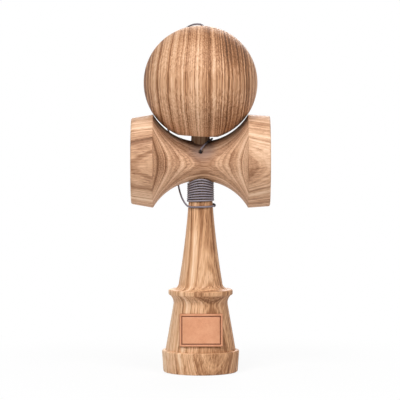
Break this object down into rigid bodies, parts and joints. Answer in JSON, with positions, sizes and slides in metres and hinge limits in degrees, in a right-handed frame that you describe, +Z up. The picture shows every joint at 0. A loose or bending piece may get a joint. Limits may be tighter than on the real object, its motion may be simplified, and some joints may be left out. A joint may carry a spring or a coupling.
{
  "type": "kendama",
  "caption": "Wooden kendama: a turned handle with a spike and base cup, a cross piece with a cup at each end, and a bored ball tied on by a string wound on the neck.",
  "frame": {"origin": "middle of the base cup's rim on the surface that the toy stands on", "axes": "+Z up the ken, +X towards the big cup, front with the badge towards -Y"},
  "size_m": [0.0732, 0.06, 0.1841],
  "materials": {
    "ken_wood": "oiled straight-grained hardwood, grain along the ken",
    "sarado_wood": "oiled straight-grained hardwood, grain along the sarado",
    "tama_wood": "oiled straight-grained hardwood, grain along the bore",
    "leather": "natural vegetable-tanned leather with a pressed border line",
    "string": "thin braided cord",
    "bead": "plain turned bead"
  },
  "bodies": {
    "ken": {"ken": "ken_wood", "leather_badge": "leather", "string_winding": "string", "string_tether_lower": "string"},
    "sarado": {"sarado": "sarado_wood", "sarado_knot": "string", "string_lead": "string"},
    "string_end": {"tama_bead": "bead", "tama_knot": "string", "string_tether_upper": "string"},
    "tama": {"tama": "tama_wood"}
  },
  "joints": [
    {"name": "sarado_pull", "type": "slide", "parent": "ken", "child": "sarado", "axis": [0, 0, 1], "range_m": [0, 0.06], "deforming": ["string_lead", "string_tether_lower"]},
    {"name": "tama_lift", "type": "slide", "parent": "sarado", "child": "string_end", "axis": [0, 0, 1], "range_m": [0, 0.04], "deforming": ["string_tether_upper"]},
    {"name": "tama_spin", "type": "hinge", "parent": "string_end", "child": "tama", "pos_m": [0, 0, 0.15294], "axis": [0.0523, 0, 0.9986], "continuous": true}
  ]
}
